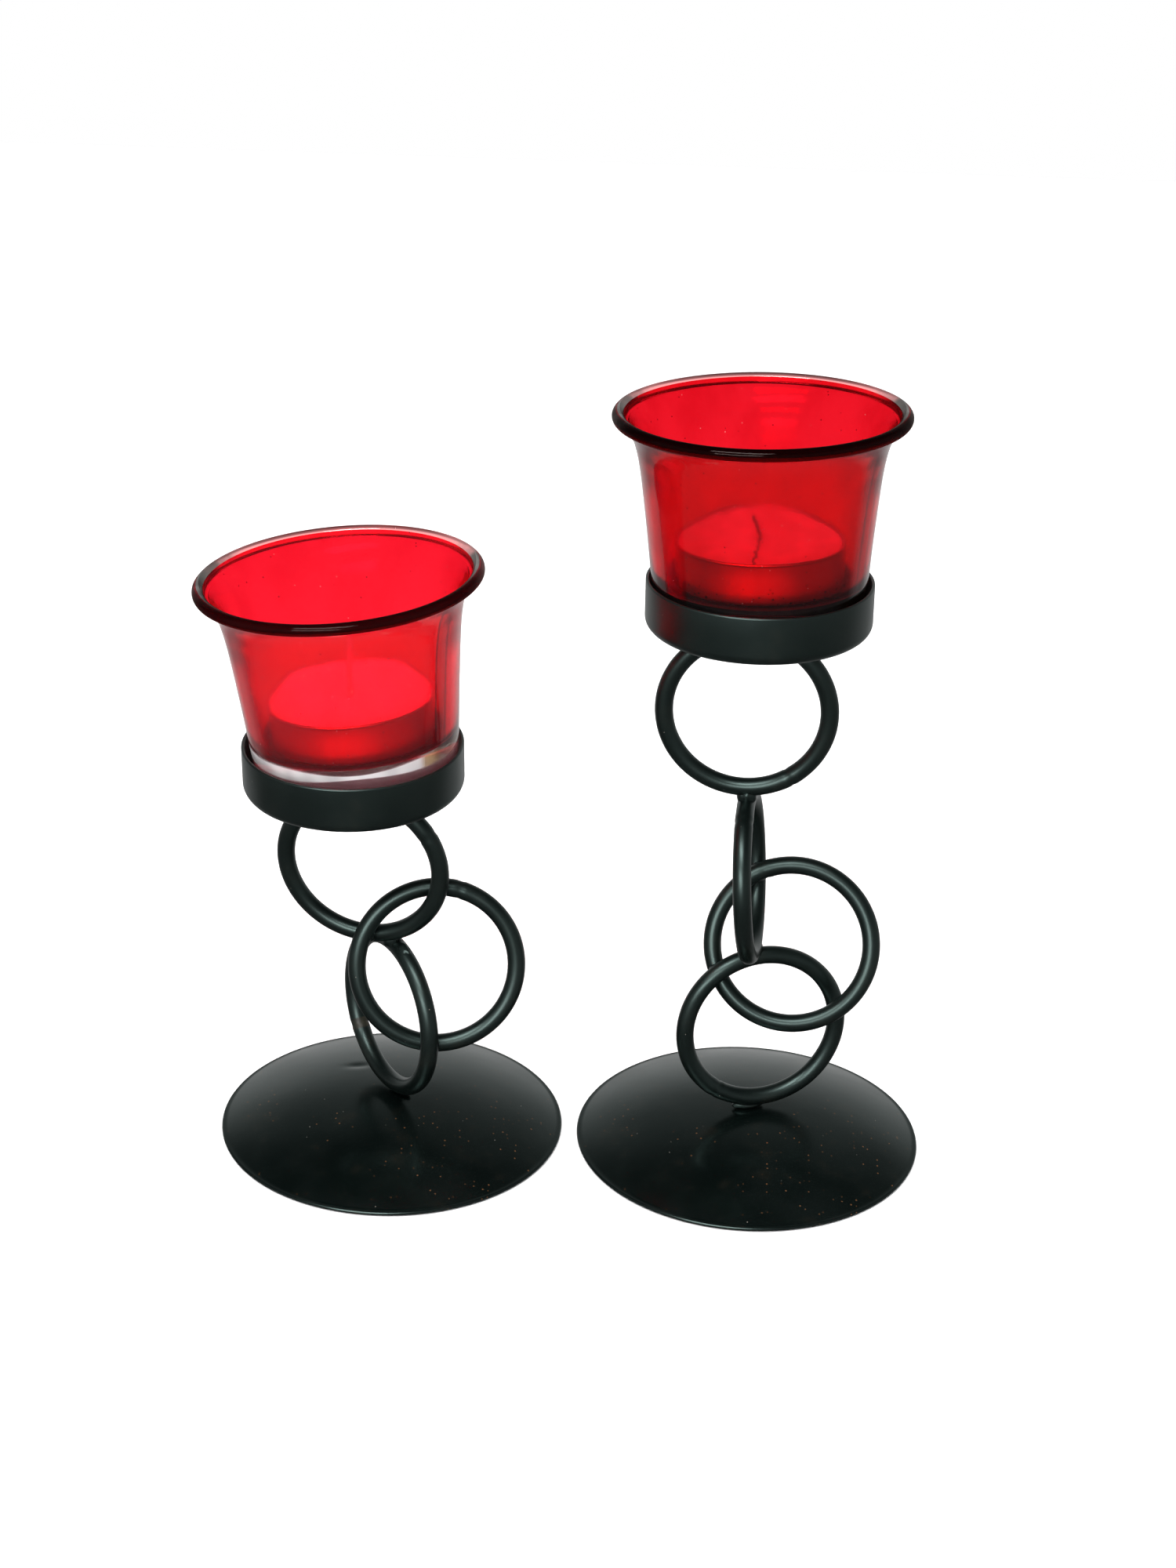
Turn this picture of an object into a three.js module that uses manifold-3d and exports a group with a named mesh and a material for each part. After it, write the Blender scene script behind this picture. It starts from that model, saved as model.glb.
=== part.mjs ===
// A pair of welded-ring votive candle holders, one tall and one short. Millimetres, +Z up.
// Origin: on the table, in the middle of the pair. +X runs from the short holder to the tall one.
import * as THREE from 'three';
import { mergeVertices } from 'three/addons/utils/BufferGeometryUtils.js';
import Module from 'manifold-3d';

// Where each base disc stands on the table.
const TALL_X = 44.1;
const SHORT_X = -41.6;

// Air kept between pieces that touch or are welded.
const GAP = 0.3;

// Base disc: pressed steel dome with a narrow flat edge that rests on the table.
const BASE_RADIUS = 41.0;
const BASE_RISE = 9.6;
const BASE_SHEET = 0.9;
const BASE_DOME_RADIUS = 40.1;
const BASE_EDGE_ROUND = 0.25;

// Rings: all seven are bent from the same wire on the same former.
const RING_RADIUS = 18.65;
const WIRE_RADIUS = 2.0;

// Pan: shallow pressed cup that the glass stands in.
const PAN_RADIUS = 25.2;
const PAN_HEIGHT = 11.2;
const PAN_SHEET = 0.8;
const PAN_CORNER = 2.4;

// Glass: flared cup with a thick base and a fire-rounded bead along the rim.
const GLASS_FLOOR = 9.2;
const RIM_BEAD_RADIUS = 1.35;
const RIM_CENTRE_RADIUS = 31.1;
const RIM_CENTRE_HEIGHT = 46.3;
// Radius and height up the outside wall, from the foot to the underside of the bead.
const GLASS_OUTSIDE = [
  [22.0, 0], [22.8, 0.9], [23.4, 6], [23.75, 9], [24.75, 20], [25.8, 30], [26.45, 35],
  [27.1, 38.5], [27.8, 41], [28.8, 43], [29.9, 44.6],
];
// Radius and height down the inside wall, from the bead to the floor.
const GLASS_INSIDE = [
  [28.8, 45.4], [27.5, 44], [26.2, 42], [25.2, 39.5], [24.4, 36.5], [23.3, 31], [22.3, 23],
  [20.9, 11.2], [20.4, 9.8], [19.3, GLASS_FLOOR],
];

// Tealight: thin aluminium cup filled with wax, with one wick.
const TEALIGHT_RADIUS = 19.0;
const TEALIGHT_HEIGHT = 9.6;
const TEALIGHT_FOIL = 0.4;
const WAX_RADIUS = 17.9;
const WAX_BOTTOM = 0.75;
const WAX_TOP = 9.0;
const WICK_RADIUS = 0.65;
const WICK_HOLE_RADIUS = 1.0;
const WICK_HOLE_BOTTOM = 5.0;

// Weld beads between two wires, under a pan and on a base disc.
const WELD_RADIUS = 2.7;
const PAN_WELD = [4.6, 3.1, 1.7];
const BASE_WELD = [4.2, 3.1, 1.9];

// Facets around each round piece.
const DISC_SIDES = 32;
const RING_SIDES = 36;
const WIRE_SIDES = 8;
const TEALIGHT_SIDES = 24;

// Each ring: centre from the middle of its base, then the way its flat side faces, in degrees
// around +Z and up from level.
const TALL_RINGS = [
  { name: 'tall_ring_1_foot', centre: [1.95, -0.8, 31.2], around: -74.4, up: 3.2 },
  { name: 'tall_ring_2_leaning', centre: [8.25, 2.95, 51.5], around: -93.6, up: 23.2 },
  { name: 'tall_ring_3_edge_on', centre: [-2.7, -2.9, 72.45], around: -5.7, up: 4.9 },
  { name: 'tall_ring_4_top', centre: [-5.4, -3.8, 114.0], around: -93.9, up: 0 },
];
const SHORT_RINGS = [
  { name: 'short_ring_1_foot', centre: [-0.3, -0.4, 31.25], around: -145.7, up: 1.0 },
  { name: 'short_ring_2_front', centre: [11.1, -6.05, 47.15], around: -83.4, up: 16.2 },
  { name: 'short_ring_3_top', centre: [-6.4, -3.2, 71.4], around: -102.2, up: -4.7 },
];

// Pans and glasses: middle of the underside from the middle of the base, and how far the axis
// leans along X and Y for each millimetre it rises. Both glasses sit cocked in their pans.
const TALL_PAN = { foot: [-3.85, -4.6, 135.05], lean: [-0.011, 0.03] };
const TALL_GLASS = { foot: [-3.85, -4.9, 136.95], lean: [-0.031, 0.054] };
const SHORT_PAN = { foot: [-8.05, -4.7, 92.2], lean: [-0.02, -0.01] };
const SHORT_GLASS = { foot: [-7.15, -4.7, 96.3], lean: [-0.088, 0.018] };

// Wick: points from the bottom of its hole to its tip, in the tealight's own frame.
const TALL_WICK = [[0, 0, 5.4], [0, 0, 9.2], [-0.3, 0, 10.8], [-0.9, 0.1, 12.5], [-1.7, 0.2, 13.9]];
const SHORT_WICK = [[0, 0, 5.4], [0, 0, 9.5], [0.3, 0, 14], [0.8, 0.1, 18.5], [1.2, 0.1, 23]];

const STEEL = { color: 0x1a2220, roughness: 0.42, metalness: 0.3 };
const RED_GLASS = { color: 0xc4101c, roughness: 0.05, metalness: 0.0 };
const FOIL = { color: 0xc9cccd, roughness: 0.3, metalness: 0.9 };
const WAX = { color: 0xf3efe6, roughness: 0.45, metalness: 0.0 };
const WICK = { color: 0xcfc6b4, roughness: 0.9, metalness: 0.0 };

const wasm = await Module();
wasm.setup();

function signedVolume(geometry) {
  const flat = geometry.index ? geometry.toNonIndexed() : geometry;
  const position = flat.attributes.position;
  const [a, b, c] = [new THREE.Vector3(), new THREE.Vector3(), new THREE.Vector3()];
  let volume = 0;
  for (let i = 0; i < position.count; i += 3) {
    a.fromBufferAttribute(position, i);
    b.fromBufferAttribute(position, i + 1);
    c.fromBufferAttribute(position, i + 2);
    volume += a.dot(b.cross(c)) / 6;
  }
  return volume;
}

// Turns the faces round if they point inwards.
function facingOut(geometry) {
  if (signedVolume(geometry) < 0) {
    const index = geometry.index.array;
    for (let i = 0; i < index.length; i += 3) {
      [index[i], index[i + 1]] = [index[i + 1], index[i]];
    }
  }
  return geometry;
}

// A solid turned around +Z from [radius, height] points.
function turned(profile, sides) {
  const points = profile.map(([radius, height]) => new THREE.Vector2(radius, height));
  const geometry = new THREE.LatheGeometry(points, sides);
  geometry.rotateX(Math.PI / 2);
  return facingOut(geometry);
}

function toManifold(geometry) {
  const bare = geometry.clone();
  bare.deleteAttribute('normal');
  bare.deleteAttribute('uv');
  const merged = mergeVertices(bare, 1e-4);
  const mesh = new wasm.Mesh({
    numProp: 3,
    vertProperties: new Float32Array(merged.attributes.position.array),
    triVerts: new Uint32Array(merged.index.array),
  });
  return new wasm.Manifold(mesh);
}

function fromManifold(solid) {
  const { numProp, vertProperties, triVerts } = solid.getMesh();
  const positions = new Float32Array((vertProperties.length / numProp) * 3);
  for (let i = 0; i < positions.length / 3; i += 1) {
    positions.set(vertProperties.slice(i * numProp, i * numProp + 3), i * 3);
  }
  const geometry = new THREE.BufferGeometry();
  geometry.setAttribute('position', new THREE.BufferAttribute(positions, 3));
  geometry.setIndex(Array.from(triVerts));
  geometry.computeVertexNormals();
  return geometry;
}

function leaningFrame({ foot, lean }) {
  const axis = new THREE.Vector3(lean[0], lean[1], 1).normalize();
  const turn = new THREE.Quaternion().setFromUnitVectors(new THREE.Vector3(0, 0, 1), axis);
  return new THREE.Matrix4().compose(new THREE.Vector3(...foot), turn, new THREE.Vector3(1, 1, 1));
}

function ringNormal({ around, up }) {
  const a = THREE.MathUtils.degToRad(around);
  const u = THREE.MathUtils.degToRad(up);
  return new THREE.Vector3(Math.cos(a) * Math.cos(u), Math.sin(a) * Math.cos(u), Math.sin(u));
}

function ringFrame(ring) {
  const turn = new THREE.Quaternion()
    .setFromUnitVectors(new THREE.Vector3(0, 0, 1), ringNormal(ring));
  return new THREE.Matrix4()
    .compose(new THREE.Vector3(...ring.centre), turn, new THREE.Vector3(1, 1, 1));
}

// A ring of wire. Extra thickness gives the shape that clears it.
function ringSolid(ring, extra = 0) {
  const radius = WIRE_RADIUS + extra;
  const geometry = new THREE.TorusGeometry(RING_RADIUS, radius, WIRE_SIDES, RING_SIDES);
  geometry.applyMatrix4(ringFrame(ring));
  return facingOut(geometry);
}

function wireCentres(ring, count) {
  const frame = ringFrame(ring);
  return Array.from({ length: count }, (_, i) => {
    const angle = (2 * Math.PI * i) / count;
    const point = new THREE.Vector3(Math.cos(angle), Math.sin(angle), 0);
    return point.multiplyScalar(RING_RADIUS).applyMatrix4(frame);
  });
}

// The point midway between two rings where their wires come closest.
function meetingPoint(ringA, ringB) {
  const pointsA = wireCentres(ringA, 480);
  const pointsB = wireCentres(ringB, 480);
  let best = Infinity;
  const middle = new THREE.Vector3();
  for (const a of pointsA) {
    for (const b of pointsB) {
      const distance = a.distanceToSquared(b);
      if (distance < best) {
        best = distance;
        middle.addVectors(a, b).multiplyScalar(0.5);
      }
    }
  }
  return middle;
}

// The highest or lowest point of a ring's outside.
function ringExtreme(ring, side) {
  const points = wireCentres(ring, 720);
  const best = points.reduce((a, b) => (side * b.z > side * a.z ? b : a));
  return best.clone().add(new THREE.Vector3(0, 0, side * WIRE_RADIUS));
}

function ellipsoid(centre, [x, y, z], turn = 0) {
  const geometry = new THREE.SphereGeometry(1, 14, 9);
  geometry.rotateX(Math.PI / 2);
  geometry.scale(x, y, z);
  geometry.rotateZ(turn);
  geometry.translate(centre.x, centre.y, centre.z);
  return geometry;
}

// A bead of weld metal with the pieces it joins cut out of it, as one body.
function weldBead(bead, cutters) {
  let solid = toManifold(bead);
  for (const cutter of cutters) {
    solid = solid.subtract(toManifold(cutter));
  }
  const pieces = solid.decompose();
  pieces.sort((a, b) => b.volume() - a.volume());
  return fromManifold(pieces[0]);
}

function ringWeld(ringA, ringB) {
  const bead = ellipsoid(meetingPoint(ringA, ringB), [WELD_RADIUS, WELD_RADIUS, WELD_RADIUS]);
  return weldBead(bead, [ringSolid(ringA, GAP), ringSolid(ringB, GAP)]);
}

function wireHeading(ring) {
  const normal = ringNormal(ring);
  return Math.atan2(normal.x, -normal.y);
}

function panWeld(ring, pan) {
  const bead = ellipsoid(ringExtreme(ring, 1), PAN_WELD, wireHeading(ring));
  const above = turned([[0, -GAP], [PAN_RADIUS, -GAP], [PAN_RADIUS, 8], [0, 8]], 24);
  above.applyMatrix4(leaningFrame(pan));
  return weldBead(bead, [ringSolid(ring, GAP), above]);
}

// Points on the dome, from its edge to its top.
function domeProfile(radius, rise, floor, steps) {
  const sphere = (radius * radius + rise * rise) / (2 * rise);
  const half = Math.asin(radius / sphere);
  return Array.from({ length: steps + 1 }, (_, i) => {
    const angle = half * (1 - i / steps);
    const height = floor + rise - sphere * (1 - Math.cos(angle));
    return [i === steps ? 0 : sphere * Math.sin(angle), height];
  });
}

function baseDisc() {
  const outside = domeProfile(BASE_DOME_RADIUS, BASE_RISE - BASE_SHEET, BASE_SHEET, 7);
  const inside = domeProfile(BASE_DOME_RADIUS - 0.4, BASE_RISE - BASE_SHEET, 0, 5).reverse();
  const edge = [
    [BASE_RADIUS - BASE_EDGE_ROUND, 0],
    [BASE_RADIUS, BASE_EDGE_ROUND],
    [BASE_RADIUS, BASE_SHEET - BASE_EDGE_ROUND],
    [BASE_RADIUS - BASE_EDGE_ROUND, BASE_SHEET],
  ];
  return turned([...inside, ...edge, ...outside], DISC_SIDES);
}

function baseWeld(ring) {
  const bead = ellipsoid(ringExtreme(ring, -1), BASE_WELD, wireHeading(ring));
  const dome = domeProfile(BASE_DOME_RADIUS, BASE_RISE - BASE_SHEET, BASE_SHEET + GAP, 24);
  const below = turned([[0, -2], [BASE_DOME_RADIUS, -2], ...dome], DISC_SIDES);
  return weldBead(bead, [ringSolid(ring, GAP), below]);
}

// An arc of [radius, height] points about a centre, angles in degrees.
function arc(radius, height, r, from, to, steps) {
  return Array.from({ length: steps + 1 }, (_, i) => {
    const angle = THREE.MathUtils.degToRad(from + ((to - from) * i) / steps);
    return [radius + r * Math.cos(angle), height + r * Math.sin(angle)];
  });
}

function panSolid(pan) {
  const cornerRadius = PAN_RADIUS - PAN_CORNER;
  const profile = [
    [0, 0],
    ...arc(cornerRadius, PAN_CORNER, PAN_CORNER, -90, 0, 4),
    [PAN_RADIUS, PAN_HEIGHT - 0.2],
    [PAN_RADIUS - 0.2, PAN_HEIGHT],
    [PAN_RADIUS - PAN_SHEET + 0.2, PAN_HEIGHT],
    [PAN_RADIUS - PAN_SHEET, PAN_HEIGHT - 0.2],
    ...arc(cornerRadius, PAN_CORNER, PAN_CORNER - PAN_SHEET, 0, -90, 3),
    [0, PAN_SHEET],
  ];
  const geometry = turned(profile, DISC_SIDES);
  geometry.applyMatrix4(leaningFrame(pan));
  return geometry;
}

function glassSolid(glass) {
  const bead = arc(RIM_CENTRE_RADIUS, RIM_CENTRE_HEIGHT, RIM_BEAD_RADIUS, -75, 190, 6);
  const geometry = turned([[0, 0], ...GLASS_OUTSIDE, ...bead, ...GLASS_INSIDE, [0, GLASS_FLOOR]],
    DISC_SIDES);
  geometry.applyMatrix4(leaningFrame(glass));
  return geometry;
}

// Where a tealight stands: on the floor of its glass, along the same axis.
function tealightFrame(glass) {
  const lift = new THREE.Matrix4().makeTranslation(0, 0, GLASS_FLOOR + GAP);
  return leaningFrame(glass).multiply(lift);
}

function foilCup(glass) {
  const r = TEALIGHT_RADIUS;
  const t = TEALIGHT_FOIL;
  const h = TEALIGHT_HEIGHT;
  const profile = [
    [0, 0], [r - 1.1, 0], [r - 0.4, 0.7], [r - 0.25, h - 0.6], [r, h - 0.5], [r, h - 0.1],
    [r - 0.2, h], [r - 0.45, h], [r - 0.65, h - 0.2],
    [r - 0.25 - t, h - 0.7], [r - 0.4 - t, 0.9], [r - 1.1 - t, t], [0, t],
  ];
  const geometry = turned(profile, TEALIGHT_SIDES);
  geometry.applyMatrix4(tealightFrame(glass));
  return geometry;
}

function waxFill(glass) {
  const profile = [
    [0, WAX_BOTTOM], [WAX_RADIUS - 1, WAX_BOTTOM], [WAX_RADIUS - 0.1, WAX_BOTTOM + 0.9],
    [WAX_RADIUS, WAX_TOP + 0.2], [WAX_RADIUS - 0.7, WAX_TOP], [WICK_HOLE_RADIUS + 1, WAX_TOP],
    [WICK_HOLE_RADIUS, WAX_TOP + 0.3], [WICK_HOLE_RADIUS, WICK_HOLE_BOTTOM], [0, WICK_HOLE_BOTTOM],
  ];
  const geometry = turned(profile, TEALIGHT_SIDES);
  geometry.applyMatrix4(tealightFrame(glass));
  return geometry;
}

function wickCord(points, glass) {
  const path = new THREE.CatmullRomCurve3(points.map((p) => new THREE.Vector3(...p)));
  const section = new THREE.Shape();
  section.absarc(0, 0, WICK_RADIUS, 0, 2 * Math.PI);
  const geometry = new THREE.ExtrudeGeometry(section, {
    steps: 10, curveSegments: 4, bevelEnabled: false, extrudePath: path,
  });
  geometry.applyMatrix4(tealightFrame(glass));
  return geometry;
}

function addPiece(stand, name, geometry, look) {
  const mesh = new THREE.Mesh(geometry, new THREE.MeshStandardMaterial(look));
  mesh.name = name;
  stand.add(mesh);
}

// One candle holder: base disc, welded rings, pan, glass and tealight.
function holder(prefix, x, { rings, joined, pan, glass, wick }) {
  const stand = new THREE.Group();
  stand.name = `${prefix}_holder`;
  stand.position.set(x, 0, 0);
  const topRing = rings[rings.length - 1];
  addPiece(stand, `${prefix}_base_disc`, baseDisc(), STEEL);
  for (const ring of rings) {
    addPiece(stand, ring.name, ringSolid(ring), STEEL);
  }
  addPiece(stand, `${prefix}_weld_base`, baseWeld(rings[0]), STEEL);
  for (const [a, b] of joined) {
    addPiece(stand, `${prefix}_weld_rings_${a}_${b}`, ringWeld(rings[a - 1], rings[b - 1]), STEEL);
  }
  addPiece(stand, `${prefix}_weld_pan`, panWeld(topRing, pan), STEEL);
  addPiece(stand, `${prefix}_pan`, panSolid(pan), STEEL);
  addPiece(stand, `${prefix}_glass_cup`, glassSolid(glass), RED_GLASS);
  addPiece(stand, `${prefix}_tealight_foil_cup`, foilCup(glass), FOIL);
  addPiece(stand, `${prefix}_tealight_wax`, waxFill(glass), WAX);
  addPiece(stand, `${prefix}_tealight_wick`, wickCord(wick, glass), WICK);
  return stand;
}

const pair = new THREE.Group();
pair.name = 'votive_candle_holder_pair';
pair.add(holder('tall', TALL_X, {
  rings: TALL_RINGS,
  joined: [[1, 2], [1, 3], [2, 3], [3, 4]],
  pan: TALL_PAN,
  glass: TALL_GLASS,
  wick: TALL_WICK,
}));
pair.add(holder('short', SHORT_X, {
  rings: SHORT_RINGS,
  joined: [[1, 2], [1, 3], [2, 3]],
  pan: SHORT_PAN,
  glass: SHORT_GLASS,
  wick: SHORT_WICK,
}));

export default pair;
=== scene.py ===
"""Looks of a pair of welded-ring votive candle holders, one tall and one short.

The scene is in metres with +Z up. The sizes named below are millimetres, and angles are degrees,
where a comment doesn't say otherwise.
"""
import math

import bpy
import numpy as np
from mathutils import Matrix, Vector, noise


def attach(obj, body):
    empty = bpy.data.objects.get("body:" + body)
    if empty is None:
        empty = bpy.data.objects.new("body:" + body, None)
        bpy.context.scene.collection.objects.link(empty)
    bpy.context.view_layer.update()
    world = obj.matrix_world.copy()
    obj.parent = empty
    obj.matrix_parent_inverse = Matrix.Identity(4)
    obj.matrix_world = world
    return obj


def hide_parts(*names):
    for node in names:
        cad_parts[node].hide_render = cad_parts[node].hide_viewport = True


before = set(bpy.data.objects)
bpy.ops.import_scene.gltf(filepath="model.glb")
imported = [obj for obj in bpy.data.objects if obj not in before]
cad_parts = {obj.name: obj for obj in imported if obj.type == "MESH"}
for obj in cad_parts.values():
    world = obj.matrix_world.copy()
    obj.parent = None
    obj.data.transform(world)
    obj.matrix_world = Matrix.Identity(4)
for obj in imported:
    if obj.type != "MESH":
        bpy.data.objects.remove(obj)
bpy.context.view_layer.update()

MM = 0.001

# Camera: where it stands, the way it looks, and its lens.
CAMERA_PLACE = Vector((18.42, -621.75, 390.53)) * MM
CAMERA_HEADING = 91.377
CAMERA_PITCH = 25.595
CAMERA_ROLL = 1.618
CAMERA_LENS = 69.21

# Facets around each smooth piece.
DISC_SIDES = 160
GLASS_SIDES = 192
TEALIGHT_SIDES = 120
RING_SIDES = 168
WIRE_SIDES = 24

# Base disc and pan. The short holder's disc has a small dent, at X and Y from its middle, and the
# squares of its spread along X and Y.
BASE_RADIUS = 41.0
BASE_RISE = 9.6
BASE_SHEET = 0.9
BASE_DOME_RADIUS = 40.1
BASE_SWELL = 0.10
BASE_DENT = {"tall": None, "short": (-9.5, 11.5)}
BASE_DENT_DEPTH = 0.30
BASE_DENT_SPREAD = (8, 1.6)
PAN_RADIUS = 25.2
PAN_HEIGHT = 11.2
PAN_SHEET = 0.8
PAN_CORNER = 2.4
PAN_SWELL = 0.05

# Rings of wire, where each has its butt joint in degrees, and the one that was scuffed there. The
# bend is the share of the radius by which a ring is out of round.
RING_RADIUS = 18.65
RING_BEND = 0.0015
WIRE_RADIUS = 2.0
PAINT_BUILD_UP = 0.09
SEAM_DEPTH = 0.16
SEAM_SWELL = 0.06
RINGS = {
    "tall": ["tall_ring_1_foot", "tall_ring_2_leaning", "tall_ring_3_edge_on", "tall_ring_4_top"],
    "short": ["short_ring_1_foot", "short_ring_2_front", "short_ring_3_top"],
}
SEAMS = {"tall": [250, 110, 200, 300], "short": [160, 80, 20]}
SCUFFED_RINGS = ["short_ring_1_foot"]

# Weld metal: which rings meet, the half sizes of each lump, the share of its size by which it is
# uneven, and the burrs on the short foot ring.
RING_WELDS = {
    "tall": [(1, 2), (1, 3), (2, 3), (3, 4)],
    "short": [(1, 2), (1, 3), (2, 3)],
}
RING_WELD_SIZE = (2.25, 2.25, 2.3625)
BASE_WELD_SIZE = (4.0, 1.8, 0.95)
BASE_WELD_SHIFT = {"tall": -2.4, "short": 2.4}
PAN_WELD_SIZE = (4.4, 3.0, 1.2)
WELD_ROWS = 18
WELD_SIDES = 32
WELD_LUMPS = 0.16
BURRS = [
    # Degrees round the ring, degrees round the wire, distance from its middle, and the half sizes.
    (17, 0, 1.25, (1.3, 2.7, 1.4)),
    (27, 62, 1.55, (0.85, 1.0, 0.9)),
]

# Glass cup: outside wall from foot to bead, bead, and inside wall from bead to floor. Points are
# (radius, height).
GLASS_FLOOR = 9.2
BEAD_RADIUS = 1.35
BEAD_CENTRE = (31.1, 46.3)
GLASS_RIPPLE = 0.05
GLASS_OUTSIDE = [
    (22.8, 0.9), (23.4, 6), (23.75, 9), (24.75, 20), (25.8, 30), (26.45, 35),
    (27.1, 38.5), (27.8, 41), (28.8, 43), (29.9, 44.6),
]
GLASS_INSIDE = [
    (28.8, 45.4), (27.5, 44), (26.2, 42), (25.2, 39.5), (24.4, 36.5), (23.3, 31), (22.3, 23),
    (20.9, 11.2), (20.4, 9.8), (19.3, GLASS_FLOOR),
]

# Pale band round the glass, painted light for light that comes through the foot: its height, and X
# where it is thinnest and where its brown mark starts.
BAND_HEIGHT = GLASS_FLOOR - 0.8
BAND_THINNEST_X = 3.0
BAND_MARK_X = 18

# Run of stain down the inside of the glass, with edges darker than its middle. Half its width, degrees.
RUN_HALF = 4.5

# Tealight: foil cup, wax and wick, whose strands turn by a twist in radians from point to point.
FOIL_RADIUS = 19.0
FOIL_HEIGHT = 9.6
FOIL_SHEET = 0.4
WAX_RADIUS = 18.0
WAX_TOP = 9.0
WICK_HOLE = {"tall": 0.55, "short": 0.8}
WICK_POINTS = {
    "tall": [(0, 0, 5.4), (0, 0, 9.2), (-0.3, 0, 10.8), (-0.9, 0.1, 12.5), (-1.7, 0.2, 13.9)],
    "short": [(0, 0, 5.4), (0, 0, 9.5), (0.3, 0, 14), (0.8, 0.1, 18.5), (1.2, 0.1, 23)],
}
STRANDS = 3
STRAND_RADIUS = {"tall": 0.22, "short": 0.33}
STRAND_TWIST = 0.55

# Where each piece starts in the noise that makes it uneven.
DISC_SEED = {"tall": 7.0, "short": 31.0}
PAN_SEED = 3.0
GLASS_SEED = {"tall": 4.0, "short": 12.0}
WAX_SEED = {"tall": 2.0, "short": 9.0}

# Colours of the painted steel.
PAINT_DARK = (0.0010, 0.0020, 0.0018)
PAINT_PALE = (0.0019, 0.0031, 0.0028)
PAINT_BROWN = (0.0058, 0.0050, 0.0034)
PAINT_SHINE = (0.73, 1.0, 0.94, 1.0)
DUST = (0.16, 0.14, 0.12)
RUST = (0.080, 0.036, 0.014)
SCUFF_BROWN = (0.020, 0.019, 0.012)
SCUFF_GREY = (0.006, 0.008, 0.006)

# Colours of the glass and its stain, and how strongly each bends light.
GLASS_IOR = 1.5
BEAD_IOR = 1.85
CLEAR_TINT = (0.97, 0.975, 0.97)
# The tall glass's foot tint is painted shade, where the foot sits down in its pan.
FOOT_SHADE_TINT = (0.30, 0.20, 0.20)
CLEAR_SHADOW = (0.95, 0.95, 0.95)
FROST = (0.80, 0.80, 0.80)
# The haze's pink and the band's pale middle are painted light.
HAZE_PAINTED_RED_LIGHT = (0.90, 0.42, 0.48)
BAND_PAINTED_LIGHT = (0.95, 0.93, 0.94)
HAZE_BROWN = (0.50, 0.33, 0.16)
# The bead's colours are painted shade and light, for how the bead bends and mirrors light.
BEAD_FRONT_SHADE = (0.09, 0.08, 0.075)
BEAD_SIDE_SHADE = (0.32, 0.31, 0.30)
BEAD_BACK_LIGHT = (1.0, 0.64, 0.64)
SOOT = (0.05, 0.0, 0.0)
STAIN_RUN = (0.20, 0.0, 0.003)
# Painted shade just above the glass's floor, round the tealight.
FLOOR_SHADE_RED = (0.06, 0.004, 0.004)
PINHOLE = (0.9, 0.25, 0.25)
STAIN_GLOW = (1.0, 0.16, 0.24, 1.0)

# Colours of the tealight that both holders share.
FOIL_DARK = (0.80, 0.80, 0.81)
FOIL_PALE = (0.86, 0.86, 0.86)
WAX_CRACK = (0.16, 0.13, 0.11)
WICK_SHADE = (0.05, 0.04, 0.03)

# What differs between the two glasses and tealights. The functions that take these say what they mean.
CLEAR_GLASS = {
    "tall": {"foot_tint": FOOT_SHADE_TINT, "haze": (0.001, 0.004, 0.0)},
    "short": {"foot_tint": CLEAR_TINT, "haze": (0.004, 0.07, 0.38)},
}
RED_FILM = {
    "tall": {
        "tint": (0.76, 0.006, 0.016), "deep": (0.66, 0.003, 0.010), "shadow": (0.70, 0.05, 0.06),
        "haze": 0.03, "sooty": 0.9, "run_at": 69,
    },
    "short": {
        "tint": (0.90, 0.007, 0.022), "deep": (0.84, 0.004, 0.016), "shadow": (0.95, 0.10, 0.12),
        "haze": 0.08, "sooty": 0.3, "run_at": 65,
    },
}
# The tall wax is a darker grey than the short: painted shade, for the dimmer light inside the tall glass.
WAX = {
    "tall": {"dull": (0.50, 0.48, 0.45), "pale": (0.62, 0.61, 0.59), "cracked": True},
    "short": {"dull": (0.84, 0.83, 0.80), "pale": (0.93, 0.92, 0.91), "cracked": False},
}
WICK = {
    "tall": {"low": (0.30, 0.24, 0.19), "high": (0.10, 0.07, 0.05), "char_from": 9, "char_to": 12},
    "short": {"low": (0.92, 0.90, 0.86), "high": (0.86, 0.82, 0.76), "char_from": 19, "char_to": 23},
}

# Floor, in metres.
FLOOR_HALF = 0.95
FLOOR_DROP = 0.0002
PAPER_DARK = (0.90, 0.90, 0.90)
PAPER_PALE = (0.92, 0.92, 0.92)


# ---------------------------------------------------------------- places, read from the frame

def own_points(node):
    """Every different vertex of a CAD node."""
    co = np.array([v.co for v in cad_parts[node].data.vertices], float)
    return np.unique(np.round(co, 6), axis=0)


def turning_frame(node, facing=Vector((0, 0, 1))):
    """The axis of a round CAD node, as a matrix whose origin is the middle of its lower end."""
    points = own_points(node)
    middle = points.mean(0)
    values, vectors = np.linalg.eigh(np.cov((points - middle).T))
    odd = 0 if values[1] - values[0] > values[2] - values[1] else 2
    axis = Vector(vectors[:, odd])
    if axis.dot(facing) < 0:
        axis.negate()
    low = ((points - middle) @ np.array(axis)).min()
    turn = Vector((0, 0, 1)).rotation_difference(axis).to_matrix().to_4x4()
    return Matrix.Translation(Vector(middle) + axis * low) @ turn


def ring_frame(node):
    """The middle of a ring and the way it faces, as a matrix."""
    place = turning_frame(node, facing=Vector((0.1, -1, 0)))
    place.translation = Vector(own_points(node).mean(0))
    return place


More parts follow.
